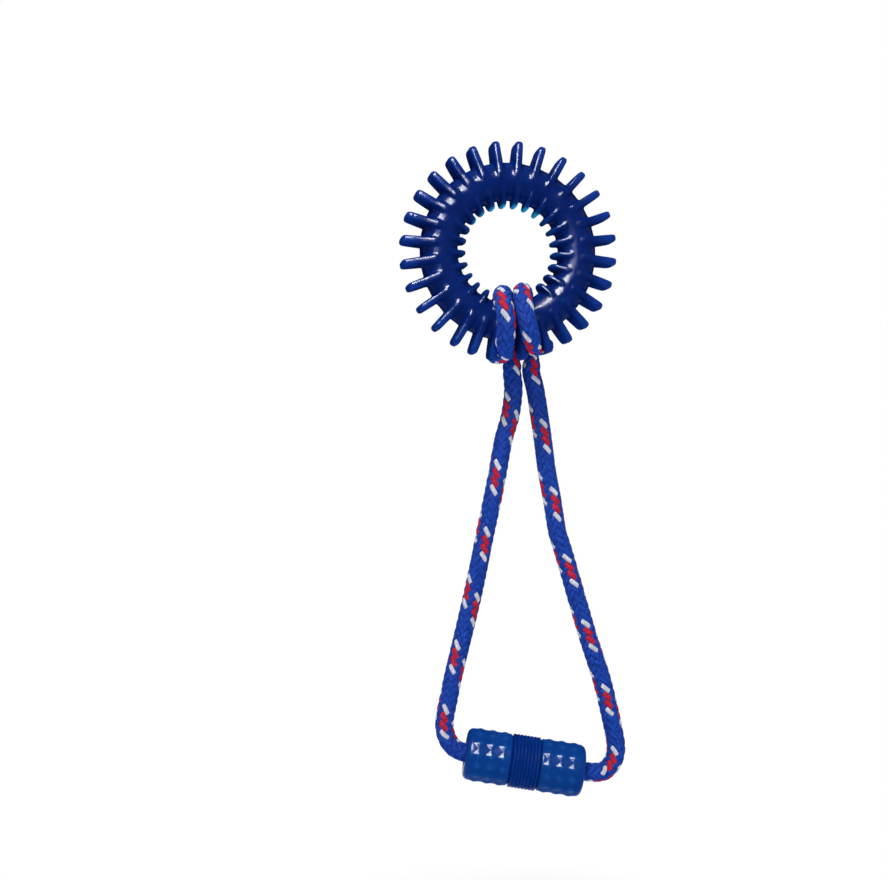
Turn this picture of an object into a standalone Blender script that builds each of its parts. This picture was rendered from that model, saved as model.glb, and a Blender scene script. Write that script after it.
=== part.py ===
"""Dental ring rope toy: a finned rubber chew ring, a braided rope loop hitched to it, and a ribbed grip.

The origin is the centre of the ring. +X is to the right, +Z is up and +Y points away from the viewer,
along the ring's axis. The toy hangs from the ring, so the rope loop and the grip lie below it.
Lengths are in metres and angles in radians unless a name says otherwise.
"""

import math

import bmesh
import bpy
from mathutils import Matrix, Vector

# Chew ring: a round-section torus with flat blades outside and small teeth of the same kind inside
RING_RADIUS = 0.0389
TUBE_RADIUS = 0.0105
TUBE_STEPS_ROUND_RING = 72
TUBE_STEPS_ROUND_SECTION = 20

BLADE_COUNT = 28
BLADE_HEIGHT = 0.0111
BLADE_ROOT_THICKNESS = 0.0043
BLADE_TIP_THICKNESS = 0.0037
BLADE_ROOT_HALF_WIDTH = 0.0112
BLADE_FIRST_ANGLE = math.radians(5.0)
# Along the blade from the tube's centre line to the tip, and the half width there
BLADE_OUTLINE_SHARES = (
    (-0.03, 0.90), (0.04, 0.98), (0.16, 1.00), (0.34, 0.94), (0.52, 0.86), (0.74, 0.77), (0.90, 0.70),
    (0.97, 0.60), (1.0, 0.42),
)
# How far the rope pushes the nearest blade aside on either side of the hitch; the next one moves half
BLADE_PUSH_LEFT_ANGLE = math.radians(4.3)
BLADE_PUSH_RIGHT_ANGLE = math.radians(1.4)
BLADES_PUSHED = 2

TOOTH_COUNT = 25
TOOTH_HEIGHT = 0.0041
TOOTH_ROOT_THICKNESS = 0.0037
TOOTH_TIP_THICKNESS = 0.0031
TOOTH_ROOT_HALF_WIDTH = 0.0102
TOOTH_FIRST_ANGLE = math.radians(7.2)
TEETH_PRESSED_FLAT = 3
# Along the tooth from the tube's centre line to the tip, and the half width there
TOOTH_OUTLINE_SHARES = (
    (0.05, 0.93), (0.20, 1.00), (0.44, 0.90), (0.67, 0.74), (0.87, 0.56), (0.97, 0.40), (1.0, 0.22),
)

# Braided rope
ROPE_RADIUS = 0.0052
PRESSED_ROPE_RADIUS = 0.0051
BLADE_GAP_ROPE_RADIUS = 0.0044
CROSSED_ROPE_RADIUS = 0.0041
ROPE_BEVEL_RESOLUTION = 2
ROPE_TIP_SHARES = ((0.0, 0.20), (0.10, 0.55), (0.35, 0.86), (0.70, 0.98))

# Clearances
SOLID_GAP = 0.0003
ROPE_SEAT_GAP = 0.0004
ROPE_TO_ROPE_GAP = 0.0010

# Hitch: both strands climb the back of the tube, cross its inner side and come down its front
HITCH_ANGLE = math.radians(172.4)
HITCH_STEPS_ROUND_TUBE = 9
HITCH_FLARE_STEPS = 6
HITCH_FLARE_SLACK = 0.0015
HITCH_CROSSBAR_DROP = 0.0132
HITCH_BELLY_DROP = 0.0164
HITCH_TILT = 0.0012
HITCH_FRONT_SHIFT = 0.0035
HITCH_BACK_SHIFT = 0.0029
HITCH_FLARE_TURN = math.radians(118)
HITCH_FRONT_END = math.radians(50)
# How much wider apart than on top of the tube the two strands lie at their front end, round the blade
HITCH_FRONT_SPREAD_SHARE = 0.36
# Under the tube: along in half strand spacings, depth and drop in wrap radii, and the share of the tilt
HITCH_UNDER_SHARES = ((1.52, 0.04, 1.02, 0.5), (1.44, -0.42, 0.95, 0.0))
HITCH_FLARE_RISE_SHARE = 1.5

# Points this many rope radii apart along the rope lie on different turns; the gap is read in fine steps
TURN_LENGTH_SHARE = 6.0
GAP_STEPS_PER_SPAN = 6

# Swing axis of the rope loop, below the ring
SWING_DEPTH = TUBE_RADIUS + PRESSED_ROPE_RADIUS + ROPE_SEAT_GAP
SWING_DROP = 0.0665
STRAND_SPACING = 2 * PRESSED_ROPE_RADIUS + ROPE_TO_ROPE_GAP
LOOP_TOP_X = 0.0110
# The hanging loop turns about the vertical, its right side forward, over this length below the swing axis
LOOP_TURN = math.radians(8.0)
LOOP_TURN_LENGTH = 0.1200

# Routes of the two legs, from below the swing axis to the grip, as X and Z
LEFT_LEG_ROUTE = (
    (0.0062, -0.0760), (0.0044, -0.0907), (0.0005, -0.1043), (-0.0026, -0.1219), (-0.0058, -0.1388),
    (-0.0095, -0.1563), (-0.0127, -0.1732), (-0.0169, -0.1935), (-0.0219, -0.2148), (-0.0271, -0.2366),
    (-0.0307, -0.2540), (-0.0325, -0.2640), (-0.0316, -0.2722), (-0.0278, -0.2786),
)
RIGHT_LEG_ROUTE = (
    (0.0191, -0.0770), (0.0212, -0.0907), (0.0232, -0.1043), (0.0254, -0.1220), (0.0285, -0.1391),
    (0.0311, -0.1560), (0.0338, -0.1653), (0.0381, -0.1802), (0.0421, -0.1945), (0.0484, -0.2163),
    (0.0556, -0.2388), (0.0608, -0.2600), (0.0632, -0.2720), (0.0641, -0.2800), (0.0620, -0.2878),
    (0.0562, -0.2930),
)
LEG_STEPS_PER_SPAN = 2

# Grip: two ribbed lobes and a grooved waist, turned round the rope
GRIP_LEFT_END = (-0.0209, -0.2823)
GRIP_TILT = math.radians(8.9)
GRIP_LENGTH = 0.0676
GRIP_LOBE_LENGTH = 0.0260
GRIP_LOBE_RADIUS = 0.0146
GRIP_RIDGE_HEIGHT = 0.0009
GRIP_RIDGE_COUNT = 3
GRIP_END_FILLET = 0.0034
GRIP_SHOULDER = 0.0014
GRIP_WAIST_RADIUS = 0.0149
GRIP_WAIST_NECK_DEPTH = 0.0022
GRIP_GROOVE_DEPTH = 0.0006
GRIP_GROOVE_COUNT = 7
GRIP_MOUTH_FLARE = 0.0012
GRIP_STEPS = 36

# Crimp sleeve that joins the two rope ends inside the grip
SLEEVE_LENGTH = 0.0180
SLEEVE_WALL = 0.0006
SLEEVE_SIDES = 20

RUBBER_BLUE = "#0B2C86"
GRIP_BLUE = "#0C4596"
ROPE_BLUE = "#2447B4"
SLEEVE_GREY = "#9AA1A8"


def clear_scene():
    """Removes whatever objects the scene starts with."""
    for obj in list(bpy.data.objects):
        bpy.data.objects.remove(obj, do_unlink=True)


def linear_colour(hex_code):
    """Turns an sRGB hex code into a linear RGBA colour."""
    def channel(value):
        return value / 12.92 if value <= 0.04045 else ((value + 0.055) / 1.055) ** 2.4

    digits = hex_code.lstrip("#")
    return tuple(channel(int(digits[i:i + 2], 16) / 255) for i in (0, 2, 4)) + (1.0,)


def make_material(name, hex_code, roughness, metallic=0.0):
    """Makes a Principled material."""
    material = bpy.data.materials.new(name)
    material.use_nodes = True
    shader = material.node_tree.nodes["Principled BSDF"]
    shader.inputs["Base Color"].default_value = linear_colour(hex_code)
    shader.inputs["Roughness"].default_value = roughness
    shader.inputs["Metallic"].default_value = metallic
    return material


def make_collection(name):
    """Makes a collection in the scene."""
    collection = bpy.data.collections.new(name)
    bpy.context.scene.collection.children.link(collection)
    return collection


def mesh_object(name, bm, collection, material=None):
    """Turns a bmesh into an object."""
    mesh = bpy.data.meshes.new(name)
    bm.to_mesh(mesh)
    bm.free()
    obj = bpy.data.objects.new(name, mesh)
    collection.objects.link(obj)
    if material is not None:
        mesh.materials.append(material)
    return obj


def mark_as_cutter(obj):
    """Keeps a cutter or a guide out of the picture."""
    obj.hide_render = True
    obj.display_type = "WIRE"


def curve_to_mesh(curve_object, collection):
    """Replaces a curve object by its mesh, with the loose caps welded on."""
    graph = bpy.context.evaluated_depsgraph_get()
    mesh = bpy.data.meshes.new_from_object(curve_object.evaluated_get(graph))
    bm = bmesh.new()
    bm.from_mesh(mesh)
    bmesh.ops.remove_doubles(bm, verts=bm.verts, dist=0.00001)
    bmesh.ops.recalc_face_normals(bm, faces=bm.faces)
    bm.to_mesh(mesh)
    bm.free()
    name = curve_object.name
    matrix = curve_object.matrix_world.copy()
    bpy.data.objects.remove(curve_object, do_unlink=True)
    obj = bpy.data.objects.new(name, mesh)
    obj.matrix_world = matrix
    collection.objects.link(obj)
    return obj


def tube_curve(name, points, radii, collection, material=None):
    """Makes a closed-ended tube along the points, with a radius at each of them."""
    curve = bpy.data.curves.new(name, "CURVE")
    curve.dimensions = "3D"
    curve.bevel_depth = 1.0
    curve.bevel_resolution = ROPE_BEVEL_RESOLUTION
    curve.use_fill_caps = True
    spline = curve.splines.new("POLY")
    spline.points.add(len(points) - 1)
    for slot, point, radius in zip(spline.points, points, radii):
        slot.co = (*point, 1.0)
        slot.radius = radius
    if material is not None:
        curve.materials.append(material)
    obj = bpy.data.objects.new(name, curve)
    collection.objects.link(obj)
    return obj


def smooth_through(points, steps):
    """Reads a Catmull-Rom curve through the points, at the given number of steps in each span."""
    ends = [2 * points[0] - points[1], *points, 2 * points[-1] - points[-2]]
    result = []
    for before, start, stop, after in zip(ends, ends[1:], ends[2:], ends[3:]):
        for step in range(steps):
            t = step / steps
            result.append(0.5 * (
                2 * start + t * (stop - before)
                + t * t * (2 * before - 5 * start + 4 * stop - after)
                + t ** 3 * (3 * start - before - 3 * stop + after)))
    result.append(points[-1].copy())
    return result


def ring_matrix(angle):
    """Turns blade space into the model: local X is outward, Y is the ring's axis, Z is along the tube.

    The angle runs clockwise from straight up, seen from the front.
    """
    outward = Vector((math.sin(angle), 0.0, math.cos(angle)))
    axial = Vector((0.0, 1.0, 0.0))
    along = outward.cross(axial)
    return Matrix((outward, axial, along)).transposed().to_4x4()


def hitch_point(along, depth, drop):
    """Places a point of the hitch.

    along is to the right along the ring, depth is away from the viewer and drop is the distance
    from the ring's axis towards the loop.
    """
    outward = Vector((math.sin(HITCH_ANGLE), 0.0, math.cos(HITCH_ANGLE)))
    right = Vector((-math.cos(HITCH_ANGLE), 0.0, math.sin(HITCH_ANGLE)))
    turn = math.pi / 2 * max(-1.0, min(1.0, depth / SWING_DEPTH))
    front_share = (1 - math.sin(turn)) / 2
    shifted = along + HITCH_BACK_SHIFT - (HITCH_BACK_SHIFT + HITCH_FRONT_SHIFT) * front_share
    return drop * outward + shifted * right + Vector((0.0, depth, 0.0))


def fin_bmesh(outline_shares, reach, half_width, root_thickness, tip_thickness):
    """Makes one fin: a flat outline along X from the tube's centre line, thinner towards its tip."""
    curve = bpy.data.curves.new("fin_outline", "CURVE")
    curve.dimensions = "2D"
    curve.fill_mode = "BOTH"
    curve.extrude = root_thickness / 2
    sides = [(share * reach, width * half_width) for share, width in outline_shares]
    outline = [(x, -y) for x, y in sides] + [(x, y) for x, y in reversed(sides)]
    spline = curve.splines.new("POLY")
    spline.points.add(len(outline) - 1)
    for slot, (x, y) in zip(spline.points, outline):
        slot.co = (x, y, 0.0, 1.0)
    spline.use_cyclic_u = True
    guide = bpy.data.objects.new("fin_outline", curve)
    bpy.context.scene.collection.objects.link(guide)
    solid = curve_to_mesh(guide, bpy.context.scene.collection)
    bm = bmesh.new()
    bm.from_mesh(solid.data)
    bpy.data.objects.remove(solid, do_unlink=True)
    tip_share = tip_thickness / root_thickness
    for vert in bm.verts:
        vert.co.z *= 1 + (tip_share - 1) * vert.co.x / reach
    return bm


def add_turned_copy(target, source, matrix):
    """Adds a copy of one bmesh to another through a matrix."""
    mesh = bpy.data.meshes.new("copy")
    source.to_mesh(mesh)
    mesh.transform(matrix)
    target.from_mesh(mesh)
    bpy.data.meshes.remove(mesh)


def blade_angle(index):
    """Gives a blade's angle. The rope pushes the blades beside the hitch aside."""
    pitch = 2 * math.pi / BLADE_COUNT
    angle = BLADE_FIRST_ANGLE + index * pitch
    number = round((angle - HITCH_ANGLE) / pitch)
    if 1 <= number <= BLADES_PUSHED:
        angle += BLADE_PUSH_LEFT_ANGLE * (1 - (number - 1) / BLADES_PUSHED)
    elif -BLADES_PUSHED <= number <= -1:
        angle -= BLADE_PUSH_RIGHT_ANGLE * (1 - (-number - 1) / BLADES_PUSHED)
    return angle


def add_blades(bm):
    """Adds the blades of the ring's outer side."""
    blade = fin_bmesh(BLADE_OUTLINE_SHARES, TUBE_RADIUS + BLADE_HEIGHT, BLADE_ROOT_HALF_WIDTH,
                      BLADE_ROOT_THICKNESS, BLADE_TIP_THICKNESS)
    on_tube = Matrix.Translation((RING_RADIUS, 0.0, 0.0))
    for index in range(BLADE_COUNT):
        add_turned_copy(bm, blade, ring_matrix(blade_angle(index)) @ on_tube)
    blade.free()


def add_teeth(bm):
    """Adds the teeth of the ring's inner side. Those under the hitch are pressed flat into the tube."""
    tooth = fin_bmesh(TOOTH_OUTLINE_SHARES, TUBE_RADIUS + TOOTH_HEIGHT, TOOTH_ROOT_HALF_WIDTH,
                      TOOTH_ROOT_THICKNESS, TOOTH_TIP_THICKNESS)
    inward = Matrix.Translation((RING_RADIUS, 0.0, 0.0)) @ Matrix.Rotation(math.pi, 4, "Z")
    pitch = 2 * math.pi / TOOTH_COUNT
    for index in range(TOOTH_COUNT):
        angle = TOOTH_FIRST_ANGLE + index * pitch
        if abs(angle - HITCH_ANGLE) >= TEETH_PRESSED_FLAT * pitch / 2:
            add_turned_copy(bm, tooth, ring_matrix(angle) @ inward)
    tooth.free()


def hitch_strand(side):
    """Gives one strand of the hitch, from the middle of the crossbar to the end above the swing axis.

    side is 1 for the right strand and -1 for the left one.
    """
    half = STRAND_SPACING / 2
    wrap = SWING_DEPTH
    tilt = -side * HITCH_TILT
    points = []
    radii = []

    def add(along, depth, drop, radius=PRESSED_ROPE_RADIUS):
        points.append(hitch_point(side * along, depth, drop))
        radii.append(radius)

    flare = 2 * CROSSED_ROPE_RADIUS + HITCH_FLARE_SLACK
    crossbar_depth = wrap + flare
    add(0.0, crossbar_depth, RING_RADIUS + HITCH_CROSSBAR_DROP, CROSSED_ROPE_RADIUS)
    for step in range(HITCH_FLARE_STEPS + 1):
        share = step / HITCH_FLARE_STEPS
        turn = math.pi - HITCH_FLARE_TURN * share
        along = half + flare * math.sin(turn)
        depth = wrap - flare * math.cos(turn)
        fall = share ** HITCH_FLARE_RISE_SHARE
        drop = HITCH_CROSSBAR_DROP + fall * (HITCH_BELLY_DROP - HITCH_CROSSBAR_DROP)
        add(along, depth, RING_RADIUS + drop + tilt, CROSSED_ROPE_RADIUS)
    for along, depth, drop, tilt_share in HITCH_UNDER_SHARES:
        low = RING_RADIUS + drop * wrap + tilt_share * tilt
        add(along * half, depth * wrap, low, BLADE_GAP_ROPE_RADIUS)
    for step in range(HITCH_STEPS_ROUND_TUBE + 1):
        turn = HITCH_FRONT_END - (math.pi + HITCH_FRONT_END) * step / HITCH_STEPS_ROUND_TUBE
        spread = 1 + HITCH_FRONT_SPREAD_SHARE * max(0.0, turn / HITCH_FRONT_END)
        add(spread * half, -wrap * math.cos(turn), RING_RADIUS + wrap * math.sin(turn))
    return points, radii


def leg_top(side):
    """Gives the point where a leg crosses the swing axis."""
    return Vector((LOOP_TOP_X + side * STRAND_SPACING / 2, SWING_DEPTH, -SWING_DROP))


def hitch_route():
    """Gives the hitch's points and radii, from the left strand's end over the crossbar to the right one."""
    points = []
    radii = []
    for side in (-1, 1):
        strand, strand_radii = hitch_strand(side)
        end = leg_top(side) + Vector((0.0, 0.0, PRESSED_ROPE_RADIUS + SOLID_GAP))
        above = end + Vector((0.0, 0.0, PRESSED_ROPE_RADIUS))
        strand += [above, end]
        strand_radii += [CROSSED_ROPE_RADIUS, PRESSED_ROPE_RADIUS]
        if side < 0:
            points = strand[:0:-1]
            radii = strand_radii[:0:-1]
        else:
            points += strand
            radii += strand_radii
    return points, radii


def loop_depth(x, z):
    """Gives the depth of the rope loop's middle, which turns as it hangs down from the swing axis."""
    share = max(0.0, min(1.0, (-SWING_DROP - z) / LOOP_TURN_LENGTH))
    return SWING_DEPTH - share * (x - LOOP_TOP_X) * math.sin(LOOP_TURN)


def grip_axis():
    """Gives the unit vector along the grip, from its left end to its right."""
    level = math.cos(GRIP_TILT)
    return Vector((level * math.cos(LOOP_TURN), -level * math.sin(LOOP_TURN), -math.sin(GRIP_TILT)))


def grip_point(distance):
    """Gives a point on the grip's axis, at a distance from its left end."""
    x, z = GRIP_LEFT_END
    return Vector((x, loop_depth(x, z), z)) + distance * grip_axis()


def leg_route(side):
    """Gives a leg's points and radii, from its round top to its end inside the sleeve."""
    route = RIGHT_LEG_ROUTE if side > 0 else LEFT_LEG_ROUTE
    top = leg_top(side)
    pressed = PRESSED_ROPE_RADIUS
    tip = top + Vector((0.0, 0.0, pressed))
    end_distance = GRIP_LENGTH if side > 0 else 0.0
    inward = -side
    neck = GRIP_LENGTH / 2 + side * (SLEEVE_LENGTH / 2 + ROPE_RADIUS / 2)
    through = [Vector((x, loop_depth(x, z), z)) for x, z in route]
    entry = [grip_point(end_distance), grip_point(end_distance + inward * 2 * ROPE_RADIUS)]
    line = smooth_through([top, *through, *entry], LEG_STEPS_PER_SPAN)
    points = [tip - Vector((0.0, 0.0, share * pressed)) for share, _ in ROPE_TIP_SHARES]
    radii = [share * pressed for _, share in ROPE_TIP_SHARES]
    points += line
    radii += [pressed] + [ROPE_RADIUS] * (len(line) - 1)
    points += [
        grip_point(neck),
        grip_point(GRIP_LENGTH / 2 + side * (SLEEVE_LENGTH / 2 + SOLID_GAP)),
        grip_point(GRIP_LENGTH / 2 + side * SOLID_GAP / 2),
    ]
    inside = ROPE_RADIUS - SLEEVE_WALL - SOLID_GAP
    radii += [ROPE_RADIUS, inside, inside]
    return points, radii


def least_self_gap(route_points, route_radii):
    """Gives the least gap between turns of one tube, on points between and at those of its route."""
    apart = TURN_LENGTH_SHARE * ROPE_RADIUS
    points = []
    radii = []
    for (start, stop), (first, last) in zip(zip(route_points, route_points[1:]),
                                            zip(route_radii, route_radii[1:])):
        for step in range(GAP_STEPS_PER_SPAN):
            share = step / GAP_STEPS_PER_SPAN
            points.append(start.lerp(stop, share))
            radii.append(first + share * (last - first))
    along = [0.0]
    for start, stop in zip(points, points[1:]):
        along.append(along[-1] + (stop - start).length)
    least = math.inf
    for i, first in enumerate(points):
        for j in range(i + 1, len(points)):
            if along[j] - along[i] > apart:
                least = min(least, (points[j] - first).length - radii[i] - radii[j])
    return least


def build_ring(parts, cutters, material):
    """Builds the chew ring and presses the hitch's bed into its blades."""
    bpy.ops.mesh.primitive_torus_add(
        major_radius=RING_RADIUS, minor_radius=TUBE_RADIUS,
        major_segments=TUBE_STEPS_ROUND_RING, minor_segments=TUBE_STEPS_ROUND_SECTION,
        rotation=(math.pi / 2, 0.0, 0.0))
    ring = bpy.context.object
    ring.name = "dental_ring"
    for collection in ring.users_collection:
        collection.objects.unlink(ring)
    parts.objects.link(ring)
    ring.data.materials.append(material)

    relief = bmesh.new()
    add_blades(relief)
    add_teeth(relief)
    relief_object = mesh_object("ring_relief", relief, cutters)
    mark_as_cutter(relief_object)
    union = ring.modifiers.new("blades_and_teeth", "BOOLEAN")
    union.operation = "UNION"
    union.object = relief_object

    points, radii = hitch_route()
    wide = [radius + SOLID_GAP for radius in radii]
    bed = curve_to_mesh(tube_curve("hitch_bed", points, wide, cutters), cutters)
    mark_as_cutter(bed)
    cut = ring.modifiers.new("hitch_bed", "BOOLEAN")
    cut.operation = "DIFFERENCE"
    cut.object = bed
    ring.data.shade_smooth()
    return ring


def grip_profile():
    """Gives the grip's half section: distance along the axis and radius, from end to end."""
    bore = ROPE_RADIUS + SOLID_GAP
    lobe = GRIP_LOBE_RADIUS
    outer = [(0.0, bore + GRIP_MOUTH_FLARE)]
    for step in range(4):
        turn = math.radians(90 * step / 3)
        outer.append((GRIP_END_FILLET * (1 - math.cos(turn)),
                      lobe - GRIP_END_FILLET * (1 - math.sin(turn))))
    ridge_zone = GRIP_LOBE_LENGTH - GRIP_END_FILLET - GRIP_SHOULDER
    pitch = ridge_zone / GRIP_RIDGE_COUNT
    for index in range(GRIP_RIDGE_COUNT):
        middle = GRIP_END_FILLET + (index + 0.5) * pitch
        outer.append((middle, lobe + GRIP_RIDGE_HEIGHT))
        outer.append((middle + pitch / 2, lobe))
    outer.append((GRIP_LOBE_LENGTH, GRIP_WAIST_RADIUS - GRIP_WAIST_NECK_DEPTH))
    waist = GRIP_LENGTH / 2 - GRIP_LOBE_LENGTH
    rib = 2 * waist / (GRIP_GROOVE_COUNT + 1)
    for index in range(GRIP_GROOVE_COUNT + 1):
        start = GRIP_LOBE_LENGTH + index * rib
        outer.append((start + rib / 4, GRIP_WAIST_RADIUS))
        outer.append((start + 3 * rib / 4, GRIP_WAIST_RADIUS))
        if index < GRIP_GROOVE_COUNT:
            outer.append((start + rib, GRIP_WAIST_RADIUS - GRIP_GROOVE_DEPTH))
    outer.append((GRIP_LENGTH - GRIP_LOBE_LENGTH, GRIP_WAIST_RADIUS - GRIP_WAIST_NECK_DEPTH))
    left_lobe = [point for point in outer if point[0] < GRIP_LOBE_LENGTH]
    outer += [(GRIP_LENGTH - along, radius) for along, radius in reversed(left_lobe)]
    flare = GRIP_MOUTH_FLARE
    inner = [(GRIP_LENGTH - flare, bore), (flare, bore)]
    return outer + inner


def build_grip(parts, material):
    """Builds the grip by turning its half section about the rope."""
    bm = bmesh.new()
    profile = grip_profile()
    verts = [bm.verts.new((radius, 0.0, -along)) for along, radius in profile]
    for start, stop in zip(verts, verts[1:] + verts[:1]):
        bm.edges.new((start, stop))
    grip = mesh_object("handle_grip", bm, parts, material)
    turn = grip.modifiers.new("turned", "SCREW")
    turn.axis = "Z"
    turn.steps = GRIP_STEPS
    turn.render_steps = GRIP_STEPS
    turn.use_merge_vertices = True
    turn.merge_threshold = 0.00001
    turn.use_smooth_shade = True
    grip.location = grip_point(0.0)
    grip.rotation_euler = (0.0, -math.pi / 2 + GRIP_TILT, -LOOP_TURN)
    return grip


def build_sleeve(parts, material):
    """Builds the crimp sleeve round the two rope ends."""
    bm = bmesh.new()
    bore = ROPE_RADIUS - SLEEVE_WALL
    half = SLEEVE_LENGTH / 2
    section = [(ROPE_RADIUS, half), (ROPE_RADIUS, -half), (bore, -half), (bore, half)]
    verts = [bm.verts.new((radius, 0.0, height)) for radius, height in section]
    for start, stop in zip(verts, verts[1:] + verts[:1]):
        bm.edges.new((start, stop))
    sleeve = mesh_object("rope_join_sleeve", bm, parts, material)
    turn = sleeve.modifiers.new("turned", "SCREW")
    turn.axis = "Z"
    turn.steps = SLEEVE_SIDES
    turn.render_steps = SLEEVE_SIDES
    turn.use_merge_vertices = True
    turn.merge_threshold = 0.00001
    turn.use_smooth_shade = True
    sleeve.location = grip_point(GRIP_LENGTH / 2)
    sleeve.rotation_euler = (0.0, -math.pi / 2 + GRIP_TILT, -LOOP_TURN)
    return sleeve


def main():
    """Builds the toy."""
    clear_scene()
    parts = make_collection("dental_ring_rope_toy")
    cutters = make_collection("cutters")
    ring_rubber = make_material("ring_rubber", RUBBER_BLUE, 0.25)
    grip_rubber = make_material("grip_rubber", GRIP_BLUE, 0.28)
    rope_yarn = make_material("rope_yarn", ROPE_BLUE, 0.9)
    sleeve_metal = make_material("sleeve_metal", SLEEVE_GREY, 0.45, 1.0)

    build_ring(parts, cutters, ring_rubber)
    points, radii = hitch_route()
    tube_curve("rope_hitch", points, radii, parts, rope_yarn)
    print("least gap of the hitch to itself, mm:", round(1000 * least_self_gap(points, radii), 2))

    loop_pivot = bpy.data.objects.new("loop_pivot", None)
    loop_pivot.location = (LOOP_TOP_X, SWING_DEPTH, -SWING_DROP)
    parts.objects.link(loop_pivot)
    bpy.context.view_layer.update()
    riders = []
    for side, name in ((-1, "rope_leg_left"), (1, "rope_leg_right")):
        points, radii = leg_route(side)
        riders.append(tube_curve(name, points, radii, parts, rope_yarn))
        length = sum((b - a).length for a, b in zip(points, points[1:]))
        print(name, "length, mm:", round(1000 * length, 1), "points:", len(points))
    riders.append(build_grip(parts, grip_rubber))
    riders.append(build_sleeve(parts, sleeve_metal))
    for rider in riders:
        rider.parent = loop_pivot
        rider.matrix_parent_inverse = loop_pivot.matrix_world.inverted()


main()
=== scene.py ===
"""Looks of the dental ring rope toy: a moulded rubber chew ring, a braided rope loop and a ribbed grip.

Everything is in metres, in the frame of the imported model: the ring's centre is the origin, +Z is up and
+Y points away from the viewer.
"""

import enum
import logging
import math
from dataclasses import dataclass, field

import bmesh
import bpy
import numpy as np
from mathutils import Matrix, Vector


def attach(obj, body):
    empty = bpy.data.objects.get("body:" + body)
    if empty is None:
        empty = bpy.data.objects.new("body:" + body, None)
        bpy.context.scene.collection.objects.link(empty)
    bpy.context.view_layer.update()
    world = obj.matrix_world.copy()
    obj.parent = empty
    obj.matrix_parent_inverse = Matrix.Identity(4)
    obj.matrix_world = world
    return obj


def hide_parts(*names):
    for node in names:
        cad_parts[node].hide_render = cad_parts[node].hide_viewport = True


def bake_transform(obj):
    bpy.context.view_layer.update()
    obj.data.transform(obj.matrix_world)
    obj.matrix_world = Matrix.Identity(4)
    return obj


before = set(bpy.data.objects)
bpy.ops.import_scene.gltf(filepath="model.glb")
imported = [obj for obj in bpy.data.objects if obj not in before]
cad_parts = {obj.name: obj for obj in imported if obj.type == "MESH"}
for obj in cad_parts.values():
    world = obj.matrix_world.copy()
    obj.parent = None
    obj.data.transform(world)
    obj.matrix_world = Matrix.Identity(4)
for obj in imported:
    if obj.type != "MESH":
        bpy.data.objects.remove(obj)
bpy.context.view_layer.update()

LOG = logging.getLogger("rope_toy")
MM = 0.001
FULL_TURN = 2 * math.pi


def linear(hex_code: str) -> tuple[float, float, float, float]:
    """Turns an sRGB hex colour into a linear one.

    Args:
        hex_code: the colour as "#RRGGBB".

    Returns:
        Linear red, green and blue, and an alpha of 1.
    """
    values = [int(hex_code[i:i + 2], 16) / 255 for i in (1, 3, 5)]
    return (*(v / 12.92 if v <= 0.04045 else ((v + 0.055) / 1.055) ** 2.4 for v in values), 1.0)


def add_node(tree: bpy.types.NodeTree, kind: str, inputs: dict | None = None,
             **settings: object) -> bpy.types.Node:
    """Adds one node to a tree.

    Args:
        tree: the tree that takes the node.
        kind: Blender's name of the node type.
        inputs: value or source socket for each input, by its name or number.
        **settings: properties of the node itself.

    Returns:
        The new node.
    """
    node = tree.nodes.new(kind)
    for name, value in settings.items():
        setattr(node, name, value)
    for socket, value in (inputs or {}).items():
        if isinstance(value, bpy.types.NodeSocket):
            tree.links.new(value, node.inputs[socket])
        else:
            node.inputs[socket].default_value = value
    return node


def new_material(name: str) -> tuple[bpy.types.Material, bpy.types.NodeTree, bpy.types.Node]:
    """Starts a node material.

    Args:
        name: what the material is and how it was made.

    Returns:
        The material, its tree and its Principled shader.
    """
    material = bpy.data.materials.new(name)
    material.use_nodes = True
    tree = material.node_tree
    return material, tree, tree.nodes["Principled BSDF"]


def object_from_bmesh(name: str, bm: bmesh.types.BMesh) -> bpy.types.Object:
    """Makes an object at the origin from a bmesh, and frees the bmesh.

    Args:
        name: the piece's name.
        bm: the shape, in the frame's own metres.

    Returns:
        The new object, linked to the scene.
    """
    mesh = bpy.data.meshes.new(name)
    bm.to_mesh(mesh)
    bm.free()
    obj = bpy.data.objects.new(name, mesh)
    bpy.context.scene.collection.objects.link(obj)
    return obj


def apply_modifiers(obj: bpy.types.Object) -> None:
    """Replaces an object's mesh by its evaluated one and drops its modifiers.

    Args:
        obj: the object to settle.
    """
    graph = bpy.context.evaluated_depsgraph_get()
    settled = bpy.data.meshes.new_from_object(obj.evaluated_get(graph))
    old = obj.data
    obj.modifiers.clear()
    obj.data = settled
    bpy.data.meshes.remove(old)


def mesh_points(mesh: bpy.types.Mesh) -> np.ndarray:
    """Reads a mesh's vertices.

    Args:
        mesh: the mesh.

    Returns:
        The vertices as an array of rows.
    """
    points = np.empty(len(mesh.vertices) * 3)
    mesh.vertices.foreach_get("co", points)
    return points.reshape(-1, 3)


def set_mesh_points(mesh: bpy.types.Mesh, points: np.ndarray) -> None:
    """Moves a mesh's vertices to the given rows."""
    mesh.vertices.foreach_set("co", points.ravel())
    mesh.update()


def set_point_values(mesh: bpy.types.Mesh, name: str, values: np.ndarray) -> None:
    """Stores one number for each vertex, for a material to read."""
    mesh.attributes.new(name, "FLOAT", "POINT").data.foreach_set("value", values.ravel())


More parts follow.
